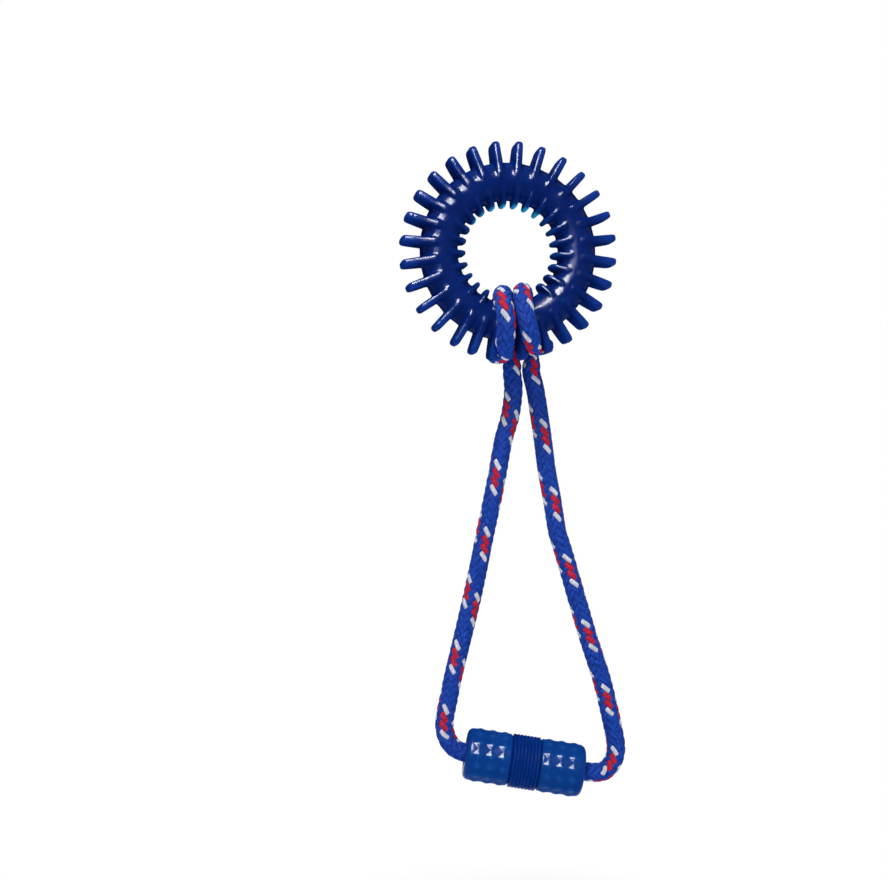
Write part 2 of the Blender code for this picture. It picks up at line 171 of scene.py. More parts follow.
def catmull_rom(points: list[Vector], steps: int) -> list[Vector]:
    """Reads a Catmull-Rom curve through points of any number of dimensions.

    Args:
        points: the points that the curve passes.
        steps: how many steps each span gets.

    Returns:
        The points along the curve, both ends included.
    """
    ends = [2 * points[0] - points[1], *points, 2 * points[-1] - points[-2]]
    result = []
    for before, start, stop, after in zip(ends, ends[1:], ends[2:], ends[3:]):
        for step in range(steps):
            t = step / steps
            result.append(0.5 * (
                2 * start + t * (stop - before)
                + t * t * (2 * before - 5 * start + 4 * stop - after)
                + t ** 3 * (3 * start - before - 3 * stop + after)))
    result.append(points[-1].copy())
    return result


def smooth_step(low: float, high: float, value: np.ndarray) -> np.ndarray:
    """Eases from 0 at low to 1 at high."""
    t = np.clip((value - low) / (high - low), 0.0, 1.0)
    return t * t * (3 - 2 * t)


def unit_rows(rows: np.ndarray) -> np.ndarray:
    """Scales each row to length 1."""
    return rows / np.linalg.norm(rows, axis=-1, keepdims=True)


def distances_along(line: np.ndarray) -> np.ndarray:
    """Gives the distance travelled along a line at each of its points."""
    return np.concatenate(([0.0], np.cumsum(np.linalg.norm(np.diff(line, axis=0), axis=1))))


def loft(bm: bmesh.types.BMesh, stations: list[tuple[float, float, float]], corners: int,
         blunt: float, place: Matrix) -> None:
    """Adds a closed form along X whose section swells and tapers from station to station.

    Args:
        bm: the bmesh that takes the form.
        stations: distance along X, half width along Y and half thickness along Z.
        corners: corners of the section.
        blunt: 1 for an oval section, and less for one with blunter edges.
        place: matrix that puts the form in the frame.
    """
    ring = bmesh.ops.create_circle(bm, segments=corners, radius=1.0)["verts"]
    section = [(math.copysign(abs(v.co.x) ** blunt, v.co.x), math.copysign(abs(v.co.y) ** blunt, v.co.y))
               for v in ring]
    loop = list({edge for vert in ring for edge in vert.link_edges})
    ends = list(loop)
    whole = []
    for number, (distance, wide, thick) in enumerate(stations):
        if number:
            grown = bmesh.ops.extrude_edge_only(bm, edges=loop)["geom"]
            fresh = {item for item in grown if isinstance(item, bmesh.types.BMVert)}
            followed = {edge.other_vert(vert): vert for vert in fresh for edge in vert.link_edges}
            ring = [followed[vert] for vert in ring]
            loop = [item for item in grown
                    if isinstance(item, bmesh.types.BMEdge) and fresh.issuperset(item.verts)]
        for vert, (across, up) in zip(ring, section):
            vert.co = (distance, wide * across, thick * up)
        whole += ring
    bmesh.ops.holes_fill(bm, edges=ends + loop, sides=0)
    bmesh.ops.transform(bm, verts=whole, matrix=place)


class Side(enum.Enum):
    """The two strands of the rope, seen from the front."""

    LEFT = -1
    RIGHT = 1


@dataclass(frozen=True)
class MouldedRubber:
    """Glossy see-through rubber (TPR), injection moulded.

    A polished mould gives it a wet shine with a slight waviness. Light that passes through its thin parts is
    painted into the colour, as a paler, more vivid tone than the thick body and as a painted glow.
    """

    name: str
    # Colours of the thick body, of its paler parts, and of the painted glow where light shines through
    deep: str
    thin: str
    glow: str
    ior: float = 1.49
    # A low level keeps the white room from veiling the blue, and the softboxes bring the shine back
    specular: float = 0.03
    roughness: float = 0.17
    # How much smoother the polished spots are than that, and how much rougher the worn ones
    polish: float = 0.04
    wear: float = 0.1
    wear_size: float = 8 * MM
    subsurface: float = 0.10
    scatter_depth: float = 3 * MM
    # How far red, green and blue travel in the rubber, as shares of that depth
    scatter_shares: tuple[float, float, float] = (0.15, 0.45, 1.0)
    cloud_size: float = 12 * MM
    cloud_share: float = 0.3
    wave_size: float = 4.0 * MM
    wave_height: float = 0.11 * MM
    grain_size: float = 0.45 * MM
    grain_height: float = 0.006 * MM
    # The noise values between which clouds and wear rise from none to full
    noise_span: tuple[float, float] = (0.35, 0.7)

    def build(self) -> bpy.types.Material:
        """Builds the material. It reads the piece's own thin and glow attributes.

        Returns:
            The finished material.
        """
        low, high = self.noise_span
        material, tree, shader = new_material(self.name)
        place = add_node(tree, "ShaderNodeTexCoord").outputs["Object"]
        thin = add_node(tree, "ShaderNodeAttribute", attribute_name="thin").outputs["Fac"]
        glow = add_node(tree, "ShaderNodeAttribute", attribute_name="glow").outputs["Fac"]
        # Pigment that flowed unevenly into the mould, in clouds of about 12 mm
        cloud = add_node(tree, "ShaderNodeTexNoise", {
            "Vector": place, "Scale": 1 / self.cloud_size, "Detail": 3.0, "Roughness": 0.55})
        patchy = add_node(tree, "ShaderNodeMapRange", {
            "Value": cloud.outputs["Fac"], "From Min": low, "From Max": high, "To Max": self.cloud_share})
        # The pale share painted on each piece, plus the pigment's own clouds
        share = add_node(tree, "ShaderNodeMath", {0: thin, 1: patchy.outputs["Result"]},
                         operation="ADD", use_clamp=True)
        body = add_node(tree, "ShaderNodeMix", {
            0: share.outputs[0], 6: linear(self.deep), 7: linear(self.thin)}, data_type="RGBA")
        # Painted glow: light shining through the rubber, painted into the colour
        lit = add_node(tree, "ShaderNodeMix", {
            0: glow, 6: body.outputs[2], 7: linear(self.glow)}, data_type="RGBA")
        tree.links.new(lit.outputs[2], shader.inputs["Base Color"])
        # Waviness of the polished mould, a few millimetres long, and the finer grain of handling
        wave = add_node(tree, "ShaderNodeTexNoise", {
            "Vector": place, "Scale": 1 / self.wave_size, "Detail": 2.0, "Roughness": 0.5})
        soft = add_node(tree, "ShaderNodeBump", {
            "Height": wave.outputs["Fac"], "Strength": 1.0, "Distance": self.wave_height})
        grain = add_node(tree, "ShaderNodeTexNoise", {
            "Vector": place, "Scale": 1 / self.grain_size, "Detail": 2.0})
        fine = add_node(tree, "ShaderNodeBump", {
            "Height": grain.outputs["Fac"], "Strength": 0.6, "Distance": self.grain_height,
            "Normal": soft.outputs["Normal"]})
        tree.links.new(fine.outputs["Normal"], shader.inputs["Normal"])
        # Handling dulls the shine in patches of about 8 mm
        worn = add_node(tree, "ShaderNodeTexNoise", {
            "Vector": place, "Scale": 1 / self.wear_size, "Detail": 3.0})
        rough = add_node(tree, "ShaderNodeMapRange", {
            "Value": worn.outputs["Fac"], "From Min": low, "From Max": high,
            "To Min": self.roughness - self.polish, "To Max": self.roughness + self.wear})
        tree.links.new(rough.outputs["Result"], shader.inputs["Roughness"])
        shader.inputs["IOR"].default_value = self.ior
        shader.inputs["Specular IOR Level"].default_value = self.specular
        shader.inputs["Subsurface Weight"].default_value = self.subsurface
        shader.inputs["Subsurface Radius"].default_value = self.scatter_shares
        shader.inputs["Subsurface Scale"].default_value = self.scatter_depth
        return material


@dataclass(frozen=True)
class BraidedYarn:
    """Polypropylene multifilament yarn, braided.

    Its filaments lie side by side, so each strand shows fine streaks along its length and a soft sheen.
    """

    name: str
    # The yarn's own colour, and the darker one in its streaks and spots and in the painted shade along a
    # strand's edges
    colour: str
    shade: str
    roughness: float = 0.78
    specular: float = 0.01
    sheen: float = 0.01
    sheen_roughness: float = 0.5
    # Filaments are about 0.05 mm thick; they are drawn as 0.28 mm streaks, the finest that shows
    filament: float = 0.28 * MM
    filament_height: float = 0.15 * MM
    streak_length: float = 3.2 * MM
    spot_size: float = 1.5 * MM
    spot_dark_share: float = 0.4
    # The noise values between which streaks and spots rise from dark to full
    streak_span: tuple[float, float] = (0.3, 0.62)
    spot_span: tuple[float, float] = (0.36, 0.62)

    def build(self) -> bpy.types.Material:
        """Builds the yarn's material. It reads each point's place in the yarn, in metres.

        Returns:
            The finished material.
        """
        material, tree, shader = new_material(self.name)
        place = add_node(tree, "ShaderNodeAttribute", attribute_name="yarn_place").outputs["Vector"]
        # Streaks of filaments, long along the yarn and fine across it
        stretched = add_node(tree, "ShaderNodeMapping", {
            "Vector": place, "Scale": (1 / self.streak_length, 1 / self.filament, 1 / self.filament)})
        streak = add_node(tree, "ShaderNodeTexNoise", {
            "Vector": stretched.outputs["Vector"], "Scale": 1.0, "Detail": 3.0, "Roughness": 0.6})
        tone = add_node(tree, "ShaderNodeMapRange", {
            "Value": streak.outputs["Fac"], "From Min": self.streak_span[0], "From Max": self.streak_span[1]})
        # Fluffed and caught filaments leave paler and darker spots of about 1.5 mm
        spot = add_node(tree, "ShaderNodeTexNoise", {
            "Vector": place, "Scale": 1 / self.spot_size, "Detail": 2.0})
        spotted = add_node(tree, "ShaderNodeMapRange", {
            "Value": spot.outputs["Fac"], "From Min": self.spot_span[0], "From Max": self.spot_span[1],
            "To Min": self.spot_dark_share})
        uneven = add_node(tree, "ShaderNodeMath", {
            0: tone.outputs["Result"], 1: spotted.outputs["Result"]}, operation="MULTIPLY")
        # Painted shade: each strand darker towards its edges where strands meet, and the core darker still
        edge = add_node(tree, "ShaderNodeAttribute", attribute_name="yarn_painted_shade").outputs["Fac"]
        shaded = add_node(tree, "ShaderNodeMath", {0: uneven.outputs[0], 1: edge},
                          operation="MULTIPLY", use_clamp=True)
        colour = add_node(tree, "ShaderNodeMix", {
            0: shaded.outputs[0], 6: linear(self.shade), 7: linear(self.colour)}, data_type="RGBA")
        tree.links.new(colour.outputs[2], shader.inputs["Base Color"])
        bump = add_node(tree, "ShaderNodeBump", {
            "Height": streak.outputs["Fac"], "Strength": 0.8, "Distance": self.filament_height})
        tree.links.new(bump.outputs["Normal"], shader.inputs["Normal"])
        shader.inputs["Roughness"].default_value = self.roughness
        shader.inputs["Specular IOR Level"].default_value = self.specular
        shader.inputs["Sheen Weight"].default_value = self.sheen
        shader.inputs["Sheen Roughness"].default_value = self.sheen_roughness
        return material


@dataclass(frozen=True)
class CrimpedAluminium:
    """Soft aluminium tube, crimped with pliers: dull silver with faint drawing lines."""

    name: str = "crimped aluminium tube"
    colour: str = "#9AA1A8"
    smooth_roughness: float = 0.3
    scratched_roughness: float = 0.55
    scratch_size: float = 0.8 * MM

    def build(self) -> bpy.types.Material:
        """Builds the metal.

        Returns:
            The finished material.
        """
        material, tree, shader = new_material(self.name)
        place = add_node(tree, "ShaderNodeTexCoord").outputs["Object"]
        scratch = add_node(tree, "ShaderNodeTexNoise", {
            "Vector": place, "Scale": 1 / self.scratch_size, "Detail": 4.0})
        rough = add_node(tree, "ShaderNodeMapRange", {
            "Value": scratch.outputs["Fac"], "To Min": self.smooth_roughness,
            "To Max": self.scratched_roughness})
        tree.links.new(rough.outputs["Result"], shader.inputs["Roughness"])
        shader.inputs["Base Color"].default_value = linear(self.colour)
        shader.inputs["Metallic"].default_value = 1.0
        return material


@dataclass
class RopeRoute:
    """The rope's centre line: from the middle of the grip up the left leg, round the hitch and back down."""

    ring_radius: float = 38.9 * MM
    tube_radius: float = 10.5 * MM
    rope_radius: float = 5.2 * MM
    # The rope is thinner where it lies pressed on the ring, runs between blades or is crossed by itself
    pressed_radius: float = 5.1 * MM
    blade_gap_radius: float = 4.4 * MM
    crossed_radius: float = 4.1 * MM
    seat_gap: float = 0.4 * MM
    strand_gap: float = 1.0 * MM
    # Where the hitch sits on the ring, clockwise from straight up
    hitch_angle: float = math.radians(172.4)
    # How far past the ring's centre line the crossbar lies, and the strands once they have left it
    crossbar_drop: float = 13.2 * MM
    belly_drop: float = 16.4 * MM
    # How much lower the left strand leaves the crossbar, and how much higher the right one
    tilt: float = 1.2 * MM
    # The hitch sits this much further left on the front, and this much further right behind
    front_shift: float = 3.5 * MM
    back_shift: float = 2.9 * MM
    # Each strand leaves the crossbar in a bend: its spare room, how far it turns, and how late it falls
    flare_slack: float = 1.5 * MM
    flare_turn: float = math.radians(118)
    flare_rise_share: float = 1.5
    # How far below the tube's front a strand reaches round it, and how much the two spread there
    front_end: float = math.radians(50)
    front_spread_share: float = 0.36
    flare_steps: int = 6
    tube_steps: int = 9
    # Two points under the tube: along in half spacings, depth and drop in wraps, and a share of the tilt
    under_shares: tuple[tuple[float, ...], ...] = ((1.52, 0.04, 1.02, 0.5), (1.44, -0.42, 0.95, 0.0))
    # The swing axis: how far below the ring's centre it lies, and the X midway between the legs on it
    swing_drop: float = 66.5 * MM
    loop_top_x: float = 11.0 * MM
    # The loop turns about the vertical by this much, evenly over this length below the swing axis
    loop_turn: float = math.radians(8.0)
    loop_turn_length: float = 120 * MM
    solid_gap: float = 0.3 * MM
    sleeve_length: float = 18.0 * MM
    sleeve_wall: float = 0.6 * MM
    grip_left_end: tuple[float, float] = (-20.9 * MM, -282.3 * MM)
    grip_tilt: float = math.radians(8.9)
    grip_length: float = 67.6 * MM
    # X and Z of the two legs, from below the swing axis to the grip
    left_leg: tuple[tuple[float, float], ...] = (
        (0.0062, -0.0760), (0.0044, -0.0907), (0.0005, -0.1043), (-0.0026, -0.1219), (-0.0058, -0.1388),
        (-0.0095, -0.1563), (-0.0127, -0.1732), (-0.0169, -0.1935), (-0.0219, -0.2148), (-0.0271, -0.2366),
        (-0.0307, -0.2540), (-0.0325, -0.2640), (-0.0316, -0.2722), (-0.0278, -0.2786),
    )
    right_leg: tuple[tuple[float, float], ...] = (
        (0.0191, -0.0770), (0.0212, -0.0907), (0.0232, -0.1043), (0.0254, -0.1220), (0.0285, -0.1391),
        (0.0311, -0.1560), (0.0338, -0.1653), (0.0381, -0.1802), (0.0421, -0.1945), (0.0484, -0.2163),
        (0.0556, -0.2388), (0.0608, -0.2600), (0.0632, -0.2720), (0.0641, -0.2800), (0.0620, -0.2878),
        (0.0562, -0.2930),
    )
    leg_steps: int = 2
    curve_steps: int = 12
    smoothing_passes: int = 4

    @property
    def spacing(self) -> float:
        """Distance between the two strands where they lie side by side."""
        return 2 * self.pressed_radius + self.strand_gap

    @property
    def wrap(self) -> float:
        """Distance from the middle of the ring's tube to the middle of the rope on it."""
        return self.tube_radius + self.pressed_radius + self.seat_gap

    def hitch_point(self, along: float, depth: float, drop: float) -> Vector:
        """Places a point of the hitch, which sits a little further left on the front than behind.

        Args:
            along: distance to the right, along the ring.
            depth: distance away from the viewer.
            drop: distance from the ring's axis towards the loop.

        Returns:
            The point in the frame.
        """
        outward = Vector((math.sin(self.hitch_angle), 0.0, math.cos(self.hitch_angle)))
        right = Vector((-math.cos(self.hitch_angle), 0.0, math.sin(self.hitch_angle)))
        turn = math.pi / 2 * max(-1.0, min(1.0, depth / self.wrap))
        front_share = (1 - math.sin(turn)) / 2
        shifted = along + self.back_shift - (self.back_shift + self.front_shift) * front_share
        return drop * outward + shifted * right + Vector((0.0, depth, 0.0))

    def in_loop(self, x: float, z: float) -> Vector:
        """Gives a point of the loop, which turns about the vertical as it hangs down from the swing axis."""
        share = max(0.0, min(1.0, (-self.swing_drop - z) / self.loop_turn_length))
        return Vector((x, self.wrap - share * (x - self.loop_top_x) * math.sin(self.loop_turn), z))

    def grip_matrix(self) -> Matrix:
        """Turns grip space into the frame: local X runs along the grip from its left end."""
        return (Matrix.Translation(self.in_loop(*self.grip_left_end))
                @ Matrix.Rotation(-self.loop_turn, 4, "Z") @ Matrix.Rotation(self.grip_tilt, 4, "Y"))

    def grip_point(self, distance: float) -> Vector:
        """Gives a point on the grip's axis, at a distance from its left end."""
        return self.grip_matrix() @ Vector((distance, 0.0, 0.0))

    def strand(self, side: Side) -> list[tuple[Vector, float]]:
        """Gives one strand of the hitch as points with radii.

        Args:
            side: which strand.

        Returns:
            The points from the middle of the crossbar to the end above the swing axis.
        """
        sign = side.value
        half = self.spacing / 2
        wrap = self.wrap
        tilt = -sign * self.tilt
        flare = 2 * self.crossed_radius + self.flare_slack
        rows = [(0.0, wrap + flare, self.ring_radius + self.crossbar_drop, self.crossed_radius)]
        for step in range(self.flare_steps + 1):
            share = step / self.flare_steps
            turn = math.pi - self.flare_turn * share
            fall = share ** self.flare_rise_share
            drop = self.crossbar_drop + fall * (self.belly_drop - self.crossbar_drop)
            rows.append((half + flare * math.sin(turn), wrap - flare * math.cos(turn),
                         self.ring_radius + drop + tilt, self.crossed_radius))
        for along, depth, drop, tilt_share in self.under_shares:
            rows.append((along * half, depth * wrap, self.ring_radius + drop * wrap + tilt_share * tilt,
                         self.blade_gap_radius))
        for step in range(self.tube_steps + 1):
            turn = self.front_end - (math.pi + self.front_end) * step / self.tube_steps
            spread = 1 + self.front_spread_share * max(0.0, turn / self.front_end)
            rows.append((spread * half, -wrap * math.cos(turn), self.ring_radius + wrap * math.sin(turn),
                         self.pressed_radius))
        points = [(self.hitch_point(sign * along, depth, drop), radius)
                  for along, depth, drop, radius in rows]
        end = self.leg_top(side) + Vector((0.0, 0.0, self.pressed_radius + self.solid_gap))
        points.append((end + Vector((0.0, 0.0, self.pressed_radius)), self.crossed_radius))
        points.append((end, self.pressed_radius))
        return points

    def leg_top(self, side: Side) -> Vector:
        """Gives the point where a leg crosses the swing axis."""
        return Vector((self.loop_top_x + side.value * self.spacing / 2, self.wrap, -self.swing_drop))

    def leg(self, side: Side) -> list[tuple[Vector, float]]:
        """Gives one leg as points with radii.

        Args:
            side: which leg.

        Returns:
            The points from the swing axis to the middle of the grip.
        """
        route = self.right_leg if side is Side.RIGHT else self.left_leg
        end = self.grip_length if side is Side.RIGHT else 0.0
        middle = self.grip_length / 2
        through = [self.in_loop(x, z) for x, z in route]
        entry = [self.grip_point(end), self.grip_point(end - side.value * 2 * self.rope_radius)]
        line = catmull_rom([self.leg_top(side), *through, *entry], self.leg_steps)
        points = [(line[0], self.pressed_radius)] + [(point, self.rope_radius) for point in line[1:]]
        crimped = self.rope_radius - self.sleeve_wall - 2 * self.solid_gap
        points.append((self.grip_point(middle + side.value * (self.sleeve_length + self.rope_radius) / 2),
                       crimped))
        points.append((self.grip_point(middle + side.value * self.solid_gap), crimped))
        return points

    def centre_line(self, step: float) -> tuple[np.ndarray, np.ndarray]:
        """Reads the whole route evenly.

        Args:
            step: distance between the points.

        Returns:
            The points as rows, and the rope's radius at each.
        """
        rows = list(reversed(self.leg(Side.LEFT)))
        rows += list(reversed(self.strand(Side.LEFT)))[:-1]
        rows += self.strand(Side.RIGHT)
        rows += self.leg(Side.RIGHT)
        carried = [Vector((*point, radius)) for point, radius in rows]
        dense = np.array([tuple(value) for value in catmull_rom(carried, self.curve_steps)])
        for _ in range(self.smoothing_passes):
            dense[1:-1] = 0.25 * dense[:-2] + 0.5 * dense[1:-1] + 0.25 * dense[2:]
        lengths = distances_along(dense[:, :3])
        wanted = np.linspace(0.0, lengths[-1], int(round(lengths[-1] / step)) + 1)
        even = np.stack([np.interp(wanted, lengths, dense[:, i]) for i in range(4)], axis=1)
        return even[:, :3], even[:, 3]


@dataclass
class BraidedRope:
    """A round braid of sixteen strands, two over and two under, laid along the rope's route."""

    route: RopeRoute
    strands_each_way: int = 8
    # The length of rope in which a strand goes round it once
    lay: float = 38.4 * MM
    strand_width: float = 3.15 * MM
    white_strand_width: float = 2.6 * MM
    strand_thickness: float = 1.3 * MM
    weave_height: float = 0.40 * MM
    # How flat the floats lie on top; near 0 the weave is a plain wave
    weave_flatness: float = 1.6
    # A float is highest midway between the two crossings that it spans
    float_shift: float = 0.5
    core_share: float = 0.62
    # Painted shade: how bright the core between the strands is painted, and how much darker each strand's
    # edges
    core_painted_shade: float = 0.1
    edge_painted_shade_share: float = 0.4
    # How much the loose outer filaments add to the rope's thickness
    fullness_share: float = 1.04
    step: float = 1.25 * MM
    path_step: float = 8 * MM
    # Above and below the swing axis, where the rope's bend starts and ends
    bend_start: float = 6 * MM
    bend_end: float = 8 * MM
    # Distance along the rope, and how far the braid has turned and slid there
    twists: tuple[tuple[float, float, float], ...] = (
        (64 * MM, math.radians(115), 1.2 * MM), (100 * MM, math.radians(95), 2.9 * MM),
        (135 * MM, math.radians(68), 2.9 * MM), (165 * MM, math.radians(42), 3.9 * MM),
        (203 * MM, math.radians(20), 3.9 * MM), (242 * MM, math.radians(-13), 3.0 * MM),
        (310 * MM, math.radians(-60), 0.2 * MM), (345 * MM, math.radians(-60), -0.9 * MM),
        (455 * MM, 0.0, 0.0), (500 * MM, math.radians(-20), 0.0),
        (545 * MM, math.radians(9), 3.5 * MM), (575 * MM, math.radians(9), 2.3 * MM),
        (614 * MM, math.radians(10), 1.8 * MM), (652 * MM, math.radians(20), 1.2 * MM),
        (728 * MM, math.radians(21), 1.5 * MM), (765 * MM, math.radians(46), 4.0 * MM),
    )
    # Yarns of the first strands; the others and the core are blue
    first_colours: tuple[str, ...] = ("white", "red", "red", "white")
    yarns: dict[str, BraidedYarn] = field(default_factory=lambda: {
        "blue": BraidedYarn("braided blue polypropylene yarn", "#2257C8", "#102A84"),
        "red": BraidedYarn("braided red polypropylene yarn", "#DE2E48", "#96182F"),
        "white": BraidedYarn("braided white polypropylene yarn", "#F2F3F8", "#B4B8CA"),
    })

    @property
    def colours(self) -> list[str]:
        """The yarn's colour of every strand in turn, and of the core at last."""
        plain = 2 * self.strands_each_way + 1 - len(self.first_colours)
        return [*self.first_colours, *["blue"] * plain]

    def twist(self, along: np.ndarray) -> tuple[np.ndarray, np.ndarray]:
        """Eases the braid's turn and slip from place to place.

        Args:
            along: distances along the rope.

        Returns:
            How far the braid has turned and slid at each.
        """
        places, turns, slips = np.array(self.twists).T
        number = np.interp(along, places, np.arange(len(places)))
        below = np.minimum(number.astype(int), len(places) - 2)
        share = smooth_step(0.0, 1.0, number - below)
        return (turns[below] + share * (turns[below + 1] - turns[below]),
                slips[below] + share * (slips[below + 1] - slips[below]))

    def strand_line(self, number: int, way: int, along: np.ndarray) -> np.ndarray:
        """Gives one strand's centre line round a straight rope that lies along X.

        Args:
            number: the strand's number, from 0.
            way: 1 for strands that turn one way and -1 for the other.
            along: distances along the rope.

        Returns:
            The points as rows.
        """
        count = self.strands_each_way
        turn, slip = self.twist(along)
        travelled = way * (along + slip) / self.lay
        angle = turn + FULL_TURN * (number / count + travelled)
        # Two crossings over and two under make one wave of four
        wave = np.cos(FULL_TURN * (2 * number + 2 * count * travelled - self.float_shift) / 4)
        height = way * np.tanh(self.weave_flatness * wave) / math.tanh(self.weave_flatness)
        middle = self.route.rope_radius - self.weave_height - self.strand_thickness / 2
        radius = middle + self.weave_height * height
        return np.stack([along, radius * np.cos(angle), radius * np.sin(angle)], axis=1)

    def straight_braid(self, along: np.ndarray) -> tuple[bpy.types.Mesh, list[np.ndarray]]:
        """Makes the braid round a straight axis, every strand a tube of round section.

        Args:
            along: distances along the rope.

        Returns:
            The mesh, and the centre line of each tube in the mesh's order, the core's last.
        """
        names = list(self.yarns)
        curve = bpy.data.curves.new("straight_braid", "CURVE")
        curve.dimensions = "3D"
        curve.bevel_depth = self.strand_thickness / 2
        curve.bevel_resolution = 2
        for yarn in self.yarns.values():
            curve.materials.append(yarn.build())
        lines = []
        for way in (-1, 1):
            for number in range(self.strands_each_way):
                lines.append(self.strand_line(number, way, along))
                self.add_spline(curve, lines[-1])
        lines.append(np.stack([along, 0 * along, 0 * along], axis=1))
        self.add_spline(curve, lines[-1], self.core_share * self.route.rope_radius / curve.bevel_depth)
        holder = bpy.data.objects.new("straight_braid", curve)
        bpy.context.scene.collection.objects.link(holder)
        graph = bpy.context.evaluated_depsgraph_get()
        mesh = bpy.data.meshes.new_from_object(holder.evaluated_get(graph))
        bpy.data.objects.remove(holder, do_unlink=True)
        # Every tube has as many faces, so its yarn's slot is repeated over them
        slots = [names.index(colour) for colour in self.colours]
        mesh.polygons.foreach_set("material_index", np.repeat(slots, len(mesh.polygons) // len(lines)))
        return mesh, lines

    @staticmethod
    def add_spline(curve: bpy.types.Curve, line: np.ndarray, radius: float = 1.0) -> None:
        """Adds one poly spline to a curve.

        Args:
            curve: the curve that takes it.
            line: its points.
            radius: its radius, as a share of the curve's bevel depth.
        """
        spline = curve.splines.new("POLY")
        spline.points.add(len(line) - 1)
        spline.points.foreach_set("co", np.column_stack([line, np.ones(len(line))]).ravel())
        spline.points.foreach_set("radius", np.full(len(line), radius))

    def flatten(self, rings: np.ndarray, line: np.ndarray, wide: float) -> tuple[np.ndarray, np.ndarray]:
        """Spreads a round strand into the flat section that a braided strand has.

        Args:
            rings: the strand's vertices, by ring, corner and axis.
            line: the strand's centre line.
            wide: the flat strand's width.

        Returns:
            The flattened vertices, and each vertex's place in the yarn: along, across and up.
        """
        outward = unit_rows(line * (0.0, 1.0, 1.0))
        across = unit_rows(np.cross(np.gradient(line, axis=0), outward))
        offset = rings - line[:, None, :]
        width = (offset * across[:, None, :]).sum(axis=2)
        height = (offset * outward[:, None, :]).sum(axis=2)
        spread = wide / self.strand_thickness - 1
        flat = rings + (spread * width)[:, :, None] * across[:, None, :]
        along = np.broadcast_to(distances_along(line)[:, None], width.shape)
        return flat, np.stack([along, (1 + spread) * width, height], axis=2)

    def bend(self, points: np.ndarray, along: np.ndarray, line: np.ndarray,
             radius: np.ndarray) -> np.ndarray:
        """Bends the straight braid onto the rope's route and presses it where the hitch is tight.

        Args:
            points: the braid's vertices round the straight axis.
            along: distances of the route's points.
            line: the route's points.
            radius: the rope's radius at each.

        Returns:
            The bent vertices.
        """
        tangents = unit_rows(np.gradient(line, axis=0))
        first = np.empty_like(line)
        side = np.array((0.0, -1.0, 0.0))
        for index, tangent in enumerate(tangents):
            side = side - tangent * side.dot(tangent)
            side /= np.linalg.norm(side)
            first[index] = side
        second = np.cross(tangents, first)
        scale = self.fullness_share * np.interp(points[:, 0], along, radius) / self.route.rope_radius

        def at(values: np.ndarray) -> np.ndarray:
            """Reads rows of values at each vertex's distance along the rope."""
            return np.stack([np.interp(points[:, 0], along, values[:, i]) for i in range(3)], axis=1)

        return (at(line) + (scale * points[:, 1])[:, None] * at(first)
                + (scale * points[:, 2])[:, None] * at(second))

    def build(self) -> bpy.types.Object:
        """Builds the rope as one mesh, with a plain core under its strands.

        Returns:
            The rope, dressed and placed.
        """
        line, radius = self.route.centre_line(self.step)
        along = distances_along(line)
        mesh, lines = self.straight_braid(along)
        shape = mesh_points(mesh).reshape(len(lines), len(along), -1, 3)
        places = np.zeros_like(shape)
        # The core is painted almost wholly dark, the shade between the strands
        shade = np.full(shape.shape[:3], self.core_painted_shade)
        for index, (strand, colour) in enumerate(zip(lines[:-1], self.colours)):
            wide = self.white_strand_width if colour == "white" else self.strand_width
            shape[index], places[index] = self.flatten(shape[index], strand, wide)
            # Painted shade, darkest at each strand's edges where it meets its neighbours
            from_middle = np.abs(places[index, :, :, 1] / (wide / 2))
            shade[index] = 1.0 - self.edge_painted_shade_share * from_middle ** 3
            # Each strand reads its own stretch of the yarn's pattern
            places[index, :, :, 0] += self.lay * index
        set_mesh_points(mesh, self.bend(shape.reshape(-1, 3), along, line, radius))
        mesh.attributes.new("yarn_place", "FLOAT_VECTOR", "POINT").data.foreach_set("vector", places.ravel())
        set_point_values(mesh, "yarn_painted_shade", shade)
        bm = bmesh.new()
        bm.from_mesh(mesh)
        bmesh.ops.holes_fill(bm, edges=[e for e in bm.edges if e.is_boundary], sides=0)
        bmesh.ops.recalc_face_normals(bm, faces=bm.faces)
        rope = object_from_bmesh("braided_rope", bm)
        for material in mesh.materials:
            rope.data.materials.append(material)
        bpy.data.meshes.remove(mesh)
        rope.data.shade_smooth()
        self.declare(rope)
        return rope

    def declare(self, rope: bpy.types.Object) -> None:
        """Args:
            rope: the finished rope mesh.
        """
        route = self.route
        line, _ = route.centre_line(self.path_step)
        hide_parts("rope_hitch", "rope_leg_left", "rope_leg_right")
        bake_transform(rope)
        tuple(route.grip_point(route.grip_length / 2))


